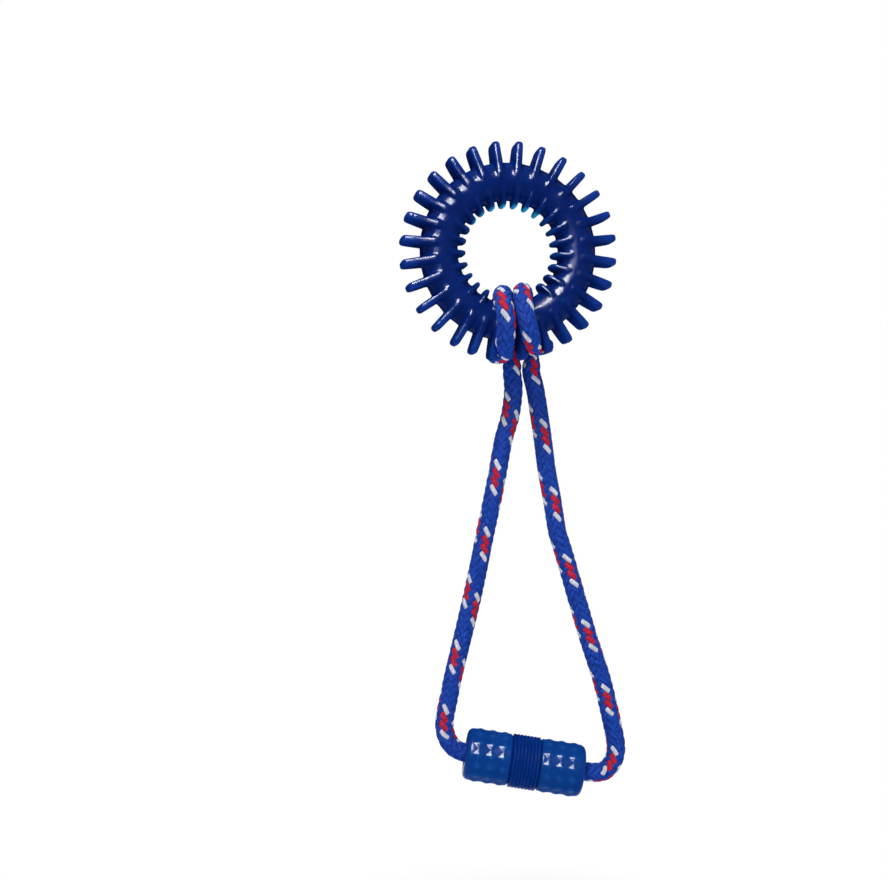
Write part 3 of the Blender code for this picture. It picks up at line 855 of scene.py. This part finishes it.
@dataclass
class ChewRing:
    """The ring: a round-section torus with flat blades outside and small teeth inside, one soft moulding."""

    route: RopeRoute
    tube_corners: int = 44
    tube_steps: int = 180
    fin_corners: int = 24
    fin_bluntness: float = 0.34
    blade_count: int = 28
    blade_height: float = 11.1 * MM
    blade_half_width: float = 11.1 * MM
    blade_half_thickness: float = 2.5 * MM
    blade_first: float = math.radians(5.0)
    # The rope pushes the blades on both sides of the hitch aside, the nearest ones the most
    blade_push_left: float = math.radians(4.3)
    blade_push_right: float = math.radians(1.4)
    blades_pushed: int = 2
    # Along the blade from the tube's centre line to the tip, half width and half thickness
    blade_shares: tuple[tuple[float, float, float], ...] = (
        (-0.03, 0.90, 0.95), (0.04, 0.98, 1.0), (0.16, 1.0, 1.0), (0.30, 0.94, 0.98), (0.43, 0.89, 0.95),
        (0.74, 0.83, 0.90), (0.90, 0.79, 0.86), (0.965, 0.71, 0.76), (0.99, 0.60, 0.58), (1.0, 0.46, 0.36),
    )
    tooth_count: int = 25
    tooth_height: float = 4.1 * MM
    tooth_half_width: float = 10.9 * MM
    tooth_half_thickness: float = 1.8 * MM
    tooth_first: float = math.radians(7.2)
    teeth_pressed_flat: int = 3
    # Along the tooth from the tube's centre line to the tip, half width and half thickness
    tooth_shares: tuple[tuple[float, float, float], ...] = (
        (0.05, 0.86, 0.98), (0.20, 0.905, 1.0), (0.32, 0.91, 1.0), (0.44, 0.88, 0.97), (0.67, 0.79, 0.90),
        (0.87, 0.65, 0.80), (0.95, 0.53, 0.66), (0.985, 0.40, 0.50), (1.0, 0.26, 0.30),
    )
    # The teeth at the top get a painted glow of light that comes from behind, between these angles from
    # straight up
    glow_angles: tuple[float, float] = (math.radians(-50), math.radians(37))
    glow_fade: float = math.radians(12)
    glow_length: float = 1.9 * MM
    tip_glow_share: float = 0.9
    tooth_glow_share: float = 0.05
    # Painted light through the fins: how far below its root a fin starts to turn pale, how far up a blade is
    # fully pale, and how pale
    blade_pale_root: float = 3 * MM
    blade_pale_height_share: float = 0.7
    blade_pale_share: float = 0.9
    tooth_pale_root: float = 1 * MM
    tooth_pale_share: float = 0.5
    voxel: float = 0.70 * MM
    fillet_factor: float = 0.5
    fillet_passes: int = 3
    rope_gap: float = 0.25 * MM
    room_step: float = 1.0 * MM
    room_passes: int = 3
    rubber: MouldedRubber = MouldedRubber(
        "moulded blue TPR, chew ring", deep="#001C60", thin="#0A3288", glow="#10AEE8")

    def matrix(self, angle: float) -> Matrix:
        """Turns blade space into the frame: X outward, Y along the ring's axis, Z along the tube.

        Args:
            angle: clockwise from straight up, seen from the front.

        Returns:
            The matrix.
        """
        outward = Vector((math.sin(angle), 0.0, math.cos(angle)))
        axial = Vector((0.0, 1.0, 0.0))
        return Matrix((outward, axial, outward.cross(axial))).transposed().to_4x4()

    def blade_angle(self, index: int) -> float:
        """Turns a blade's number into its angle; the rope pushes the blades beside the hitch aside.

        Args:
            index: the blade's number, clockwise from the top.

        Returns:
            Its angle from straight up.
        """
        pitch = FULL_TURN / self.blade_count
        angle = self.blade_first + index * pitch
        number = round((angle - self.route.hitch_angle) / pitch)
        if 1 <= abs(number) <= self.blades_pushed:
            push = self.blade_push_left if number > 0 else -self.blade_push_right
            angle += push * (1 - (abs(number) - 1) / self.blades_pushed)
        return angle

    def form(self) -> bmesh.types.BMesh:
        """Puts together the torus, the blades and the teeth as overlapping closed forms.

        Returns:
            The bmesh, ready to be moulded into one.
        """
        bm = bmesh.new()
        # The circle lies in XY, which holds the ring's axis, so the spin about Y makes the tube
        section = bmesh.ops.create_circle(
            bm, segments=self.tube_corners, radius=self.route.tube_radius)["verts"]
        bmesh.ops.translate(bm, verts=section, vec=(self.route.ring_radius, 0.0, 0.0))
        bmesh.ops.spin(bm, geom=section + list({e for v in section for e in v.link_edges}), cent=(0, 0, 0),
                       axis=(0, 1, 0), angle=FULL_TURN, steps=self.tube_steps, use_merge=True)
        reach = self.route.tube_radius + self.blade_height
        rows = [(self.route.ring_radius + share * reach, wide * self.blade_half_width,
                 thick * self.blade_half_thickness) for share, wide, thick in self.blade_shares]
        for index in range(self.blade_count):
            loft(bm, rows, self.fin_corners, self.fin_bluntness, self.matrix(self.blade_angle(index)))
        reach = self.route.tube_radius + self.tooth_height
        rows = [(share * reach - self.route.ring_radius, wide * self.tooth_half_width,
                 thick * self.tooth_half_thickness) for share, wide, thick in self.tooth_shares]
        pitch = FULL_TURN / self.tooth_count
        for index in range(self.tooth_count):
            angle = self.tooth_first + index * pitch
            # The teeth under the hitch are pressed flat, so they are left out
            if abs(angle - self.route.hitch_angle) >= self.teeth_pressed_flat * pitch / 2:
                loft(bm, rows, self.fin_corners, self.fin_bluntness, self.matrix(angle + math.pi))
        bmesh.ops.recalc_face_normals(bm, faces=bm.faces)
        return bm

    def make_room(self, points: np.ndarray) -> np.ndarray:
        """Presses the rubber away from the rope where the hitch lies on it.

        Args:
            points: the ring's vertices.

        Returns:
            The vertices, moved.
        """
        line, radius = self.route.centre_line(self.room_step)
        near = line[:, 2] > -self.route.swing_drop
        line, radius = line[near], radius[near]
        moved = points.copy()
        low = np.flatnonzero(moved[:, 2] < -self.route.tube_radius)
        for _ in range(self.room_passes):
            gap = np.linalg.norm(moved[low, None, :] - line[None, :, :], axis=2) - radius - self.rope_gap
            nearest = gap.argmin(axis=1)
            depth = gap[np.arange(len(low)), nearest]
            inside = depth < 0
            away = unit_rows(moved[low] - line[nearest])
            moved[low[inside]] -= away[inside] * depth[inside][:, None]
        return moved

    def build(self) -> bpy.types.Object:
        """Builds and dresses the ring.

        Returns:
            The ring.
        """
        ring = object_from_bmesh("chew_ring", self.form())
        remesh = ring.modifiers.new("moulded_as_one", "REMESH")
        remesh.mode = "VOXEL"
        remesh.voxel_size = self.voxel
        remesh.use_smooth_shade = True
        soften = ring.modifiers.new("moulded_fillets", "SMOOTH")
        soften.factor = self.fillet_factor
        soften.iterations = self.fillet_passes
        apply_modifiers(ring)
        points = self.make_room(mesh_points(ring.data))
        set_mesh_points(ring.data, points)
        self.paint(ring.data, points)
        ring.data.shade_smooth()
        ring.data.materials.clear()
        ring.data.materials.append(self.rubber.build())
        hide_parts("dental_ring")
        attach(ring, "ring")
        LOG.info("ring: %d faces", len(ring.data.polygons))
        return ring

    def paint(self, mesh: bpy.types.Mesh, points: np.ndarray) -> None:
        """Stores the painted light at each vertex: how much paler the thin blades and teeth are, and how much
        glow.

        Args:
            mesh: the ring's mesh.
            points: its vertices.
        """
        radius = np.hypot(points[:, 0], points[:, 2])
        inner = self.route.ring_radius - self.route.tube_radius
        outer = self.route.ring_radius + self.route.tube_radius
        blades = smooth_step(outer - self.blade_pale_root,
                             outer + self.blade_pale_height_share * self.blade_height, radius)
        teeth = smooth_step(inner + self.tooth_pale_root, inner - self.tooth_height, radius)
        tips = smooth_step(inner - self.tooth_height + self.glow_length, inner - self.tooth_height, radius)
        angle = np.arctan2(points[:, 0], points[:, 2])
        start, stop = self.glow_angles
        lit_from_behind = (smooth_step(start - self.glow_fade, start, angle)
                           * (1 - smooth_step(stop, stop + self.glow_fade, angle)))
        # Light through the thin blades and teeth is painted as a paler tone, and the tips of the top teeth as
        # a glow
        set_point_values(mesh, "thin", self.blade_pale_share * blades + self.tooth_pale_share * teeth)
        set_point_values(mesh, "glow", self.tooth_glow_share * teeth
                         + self.tip_glow_share * tips * lit_from_behind)


@dataclass
class Grip:
    """The grip: two lobes covered in low pyramids and a grooved waist, turned round the rope."""

    route: RopeRoute
    lobe_length: float = 26.0 * MM
    lobe_radius: float = 14.4 * MM
    stud_height: float = 0.9 * MM
    # Rings of studs on each lobe, studs in a ring, and steps over half a stud
    stud_rows: int = 3
    studs_round: int = 14
    stud_steps: int = 7
    stud_turn: float = math.radians(-1.7)
    end_fillet: float = 3.4 * MM
    fillet_steps: int = 8
    shoulder: float = 1.4 * MM
    waist_radius: float = 14.9 * MM
    neck_depth: float = 2.2 * MM
    groove_depth: float = 0.6 * MM
    groove_count: int = 7
    # Along a rib of the waist, and how far down into its groove
    rib_shares: tuple[tuple[float, float], ...] = (
        (0.10, 0.45), (0.24, 0.0), (0.76, 0.0), (0.90, 0.45), (1.0, 1.0),
    )
    # How far in and down from the lobe's edge the shoulder breaks
    shoulder_shares: tuple[float, float] = (0.4, 0.45)
    mouth_flare: float = 1.2 * MM
    # From the bore to the end face: how far in, and how far the mouth has opened
    mouth_shares: tuple[tuple[float, float], ...] = ((3.0, 0.0), (1.0, 0.0), (0.2, 0.6), (0.0, 1.0))
    crease_angle: float = math.radians(40)
    # How pale the lobes are painted, where that fades in, and the painted glow on the studs
    lobe_pale_share: float = 0.65
    lobe_pale_edge: float = 1 * MM
    stud_glow_share: float = 0.12
    # How far below the lobe's radius a point may lie and still be on its surface
    surface_slack: float = 0.01 * MM
    rubber: MouldedRubber = MouldedRubber(
        "moulded blue TPR, grip", deep="#032A7A", thin="#06408E", glow="#2F7FD0", wave_size=5 * MM)

    @property
    def stud_pitch(self) -> float:
        """Distance along the grip from one ring of studs to the next."""
        return (self.lobe_length - self.end_fillet - self.shoulder) / self.stud_rows

    def outline(self) -> list[tuple[float, float]]:
        """Gives the closed half section of the grip.

        Returns:
            Distances along the axis with radii, from the middle of the bore round both ends.
        """
        bore = self.route.rope_radius + self.route.solid_gap
        half = [(self.route.grip_length / 2, bore)]
        half += [(inward * self.mouth_flare, bore + opened * self.mouth_flare)
                 for inward, opened in self.mouth_shares]
        for step in range(self.fillet_steps + 1):
            turn = math.pi / 2 * step / self.fillet_steps
            half.append((self.end_fillet * (1 - math.cos(turn)),
                         self.lobe_radius - self.end_fillet * (1 - math.sin(turn))))
        step_length = self.stud_pitch / (2 * self.stud_steps)
        half += [(self.end_fillet + (step + 1) * step_length, self.lobe_radius)
                 for step in range(2 * self.stud_steps * self.stud_rows)]
        inward, down = self.shoulder_shares
        half.append((self.lobe_length - inward * self.shoulder, self.lobe_radius - down * self.shoulder))
        half.append((self.lobe_length, self.waist_radius - self.neck_depth))
        rib = (self.route.grip_length - 2 * self.lobe_length) / (self.groove_count + 1)
        for index in range((self.groove_count + 1) // 2):
            start = self.lobe_length + index * rib
            half += [(start + share * rib, self.waist_radius - depth * self.groove_depth)
                     for share, depth in self.rib_shares]
        mirrored = [(self.route.grip_length - along, radius) for along, radius in reversed(half)]
        return half + mirrored[1:-1]

    def form(self) -> bmesh.types.BMesh:
        """Turns the half section about the grip's axis.

        Returns:
            The bmesh, with the axis along X from the grip's left end.
        """
        bm = bmesh.new()
        verts = [bm.verts.new((along, radius, 0.0)) for along, radius in self.outline()]
        edges = [bm.edges.new(pair) for pair in zip(verts, verts[1:] + verts[:1])]
        bmesh.ops.spin(bm, geom=verts + edges, cent=(0, 0, 0), axis=(1, 0, 0), angle=FULL_TURN,
                       steps=2 * self.stud_steps * self.studs_round, use_merge=True)
        bmesh.ops.recalc_face_normals(bm, faces=bm.faces)
        return bm

    def raise_studs(self, points: np.ndarray) -> np.ndarray:
        """Raises the lobes' surface into rings of low four-sided pyramids, set corner to corner.

        Args:
            points: the vertices of the turned form, with the grip's axis along X.

        Returns:
            The vertices, moved.
        """
        from_end = np.minimum(points[:, 0], self.route.grip_length - points[:, 0])
        radius = np.hypot(points[:, 1], points[:, 2])
        turn = (np.arctan2(points[:, 2], points[:, 1]) - self.stud_turn) / FULL_TURN * self.studs_round
        along = (from_end - self.end_fillet) / self.stud_pitch
        from_middle = np.abs(2 * (turn % 1) - 1) + np.abs(2 * (along % 1) - 1)
        outside = radius > self.lobe_radius - self.surface_slack
        studded = outside & (along > 0) & (along < self.stud_rows)
        rise = self.stud_height * np.clip(1 - from_middle, 0.0, 1.0) * studded
        raised = points.copy()
        raised[:, 1:] *= (1 + rise / radius)[:, None]
        return raised

    def build(self) -> bpy.types.Object:
        """Builds and dresses the grip.

        Returns:
            The grip.
        """
        grip = object_from_bmesh("ribbed_grip", self.form())
        set_mesh_points(grip.data, self.raise_studs(mesh_points(grip.data)))
        grip.data.transform(self.route.grip_matrix())
        self.paint(grip.data)
        grip.data.shade_smooth()
        grip.data.set_sharp_from_angle(angle=self.crease_angle)
        grip.data.materials.append(self.rubber.build())
        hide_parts("handle_grip")
        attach(grip, "grip")
        LOG.info("grip: %d faces", len(grip.data.polygons))
        return grip

    def paint(self, mesh: bpy.types.Mesh) -> None:
        """Stores where the rubber is paler: on the lobes, and most of all on their studs, which also get a
        painted glow.

        Args:
            mesh: the grip's mesh, in its place.
        """
        start = self.route.grip_point(0.0)
        axis = np.array(self.route.grip_point(1.0) - start)
        offset = mesh_points(mesh) - np.array(start)
        along = offset @ axis
        radius = np.linalg.norm(offset - along[:, None] * axis, axis=1)
        from_end = np.minimum(along, self.route.grip_length - along)
        lobe = 1 - smooth_step(self.lobe_length - self.lobe_pale_edge, self.lobe_length, from_end)
        stud = smooth_step(self.lobe_radius, self.lobe_radius + self.stud_height, radius)
        set_point_values(mesh, "thin", lobe * (self.lobe_pale_share + (1 - self.lobe_pale_share) * stud))
        # Painted glow of light on the studs
        set_point_values(mesh, "glow", self.stud_glow_share * lobe * stud)


def dress_sleeve() -> None:
    """Gives the crimp sleeve, a node of the model, its metal."""
    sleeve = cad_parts["rope_join_sleeve"]
    metal = CrimpedAluminium().build()
    if sleeve.data.materials:
        sleeve.data.materials[0] = metal
    else:
        sleeve.data.materials.append(metal)
    LOG.info("sleeve: dressed")


@dataclass
class Studio:
    """The camera, soft lamps and pale floor of the picture."""

    distance: float = 700 * MM
    yaw: float = math.radians(8.0)
    # The real size of a pixel at the ring, and where the ring's centre lies in the picture
    pixel: float = 0.555 * MM
    ring_pixel: tuple[int, int] = (508, 252)
    picture: tuple[int, int] = (888, 880)
    sensor: float = 36 * MM
    clip_start: float = 10 * MM
    floor_height: float = -0.40
    floor_radius: float = 1.5
    floor_corners: int = 96
    floor_colour: str = "#F4F4F4"
    floor_roughness: float = 0.9
    # The floor fades to white between these distances from its middle
    fade_start: float = 0.06
    fade_end: float = 0.19
    # How bright the white world is as a light; it is seen and mirrored at full strength
    ambient: float = 0.29
    # The point that all lamps face
    aim: tuple[float, float, float] = (0.0, 0.0, -0.1)
    # Name, place, side of the square, power in watts, and whether it shows in the gloss alone
    lamps: tuple[tuple[str, tuple[float, float, float], float, float, bool], ...] = (
        ("key", (-0.35, -0.50, 0.95), 0.30, 11.0, False),
        ("fill", (0.80, -0.80, 0.10), 0.90, 2.2, False),
        ("back_fill", (0.20, 1.00, 0.35), 0.90, 6.0, False),
        ("softbox", (-0.325, -0.70, 0.56), 0.50, 240.0, True),
        ("low_softbox", (-0.32, -0.71, 0.19), 0.38, 15.0, True),
    )
    flag_depth: float = 0.5
    flag_size: float = 2.4
    flag_colour: str = "#0A0E1C"

    def add_camera(self) -> None:
        """Adds the camera at the photograph's viewing angle."""
        forward = Vector((math.sin(self.yaw), math.cos(self.yaw), 0.0))
        right = Vector((math.cos(self.yaw), -math.sin(self.yaw), 0.0))
        across = (self.ring_pixel[0] - self.picture[0] / 2) * self.pixel
        rise = (self.picture[1] / 2 - self.ring_pixel[1]) * self.pixel
        data = bpy.data.cameras.new("camera")
        data.sensor_fit = "HORIZONTAL"
        data.sensor_width = self.sensor / MM
        data.lens = data.sensor_width * self.distance / (self.picture[0] * self.pixel)
        data.clip_start = self.clip_start
        camera = bpy.data.objects.new("camera", data)
        camera.location = -(self.distance * forward + across * right + Vector((0.0, 0.0, rise)))
        camera.rotation_euler = (math.pi / 2, 0.0, -self.yaw)
        bpy.context.scene.collection.objects.link(camera)
        bpy.context.scene.camera = camera

    def add_lamps(self) -> None:
        """Adds square soft lamps that face the toy. The softboxes are only seen mirrored in the rubber."""
        for name, place, size, power, gloss_only in self.lamps:
            data = bpy.data.lights.new(name, "AREA")
            data.shape = "SQUARE"
            data.size = size
            data.energy = power
            lamp = bpy.data.objects.new(name, data)
            lamp.visible_diffuse = not gloss_only
            lamp.visible_transmission = not gloss_only
            lamp.location = place
            lamp.rotation_euler = (Vector(self.aim) - Vector(place)).to_track_quat("-Z", "Y").to_euler()
            bpy.context.scene.collection.objects.link(lamp)

    def add_floor(self) -> None:
        """Adds the floor, which fades into the white background round the toy's shadow."""
        bm = bmesh.new()
        bmesh.ops.create_circle(bm, cap_ends=True, segments=self.floor_corners, radius=self.floor_radius)
        bmesh.ops.translate(bm, verts=bm.verts, vec=(0.0, 0.0, self.floor_height))
        floor = object_from_bmesh("floor", bm)
        material, tree, shader = new_material("matt white paper sweep")
        place = add_node(tree, "ShaderNodeTexCoord").outputs["Object"]
        distance = add_node(tree, "ShaderNodeVectorMath", {0: place, 1: (0.0, 0.0, self.floor_height)},
                            operation="DISTANCE")
        fade = add_node(tree, "ShaderNodeMapRange", {
            "Value": distance.outputs["Value"], "From Min": self.fade_start, "From Max": self.fade_end},
            interpolation_type="SMOOTHSTEP")
        white = add_node(tree, "ShaderNodeEmission", {"Color": (1.0, 1.0, 1.0, 1.0), "Strength": 1.0})
        shader.inputs["Base Color"].default_value = linear(self.floor_colour)
        shader.inputs["Roughness"].default_value = self.floor_roughness
        shader.inputs["Specular IOR Level"].default_value = 0.0
        blend = add_node(tree, "ShaderNodeMixShader", {
            0: fade.outputs["Result"], 1: shader.outputs["BSDF"], 2: white.outputs["Emission"]})
        tree.links.new(blend.outputs["Shader"], tree.nodes["Material Output"].inputs["Surface"])
        floor.data.materials.append(material)

    def add_flag(self) -> None:
        """Adds a dark card behind the toy, seen in the gloss alone, which keeps its glossy edges dark."""
        bm = bmesh.new()
        bmesh.ops.create_grid(bm, x_segments=1, y_segments=1, size=self.flag_size / 2)
        bmesh.ops.rotate(bm, verts=bm.verts, matrix=Matrix.Rotation(math.pi / 2, 3, "X"))
        bmesh.ops.translate(bm, verts=bm.verts, vec=(0.0, self.flag_depth, 0.0))
        flag = object_from_bmesh("flag", bm)
        material, _, shader = new_material("matt black card")
        shader.inputs["Base Color"].default_value = linear(self.flag_colour)
        shader.inputs["Specular IOR Level"].default_value = 0.0
        flag.data.materials.append(material)
        flag.visible_camera = False
        flag.visible_diffuse = False
        flag.visible_transmission = False
        flag.visible_shadow = False

    def add_world(self) -> None:
        """Sets a white background for what is seen or mirrored, and a dimmer even light for the rest."""
        world = bpy.data.worlds.new("studio")
        bpy.context.scene.world = world
        world.use_nodes = True
        tree = world.node_tree
        background = tree.nodes["Background"]
        rays = add_node(tree, "ShaderNodeLightPath")
        seen = add_node(tree, "ShaderNodeMath", {
            0: rays.outputs["Is Camera Ray"], 1: rays.outputs["Is Glossy Ray"]}, operation="MAXIMUM")
        shown = add_node(tree, "ShaderNodeMath", {
            0: seen.outputs[0], 1: rays.outputs["Is Transmission Ray"]}, operation="MAXIMUM")
        strength = add_node(tree, "ShaderNodeMapRange", {
            "Value": shown.outputs[0], "To Min": self.ambient, "To Max": 1.0})
        background.inputs["Color"].default_value = (1.0, 1.0, 1.0, 1.0)
        tree.links.new(strength.outputs["Result"], background.inputs["Strength"])

    def build(self) -> None:
        """Builds the whole studio and sets the plain view transform."""
        self.add_camera()
        self.add_lamps()
        self.add_floor()
        self.add_flag()
        self.add_world()
        bpy.context.scene.view_settings.view_transform = "Standard"
        LOG.info("studio: %d lamps", len(self.lamps))


def main() -> None:
    """Builds the studio and the toy in order."""
    logging.basicConfig(level=logging.INFO, format="%(message)s")
    route = RopeRoute()
    Studio().build()
    BraidedRope(route).build()
    ChewRing(route).build()
    Grip(route).build()
    dress_sleeve()


if __name__ == "__main__":
    main()
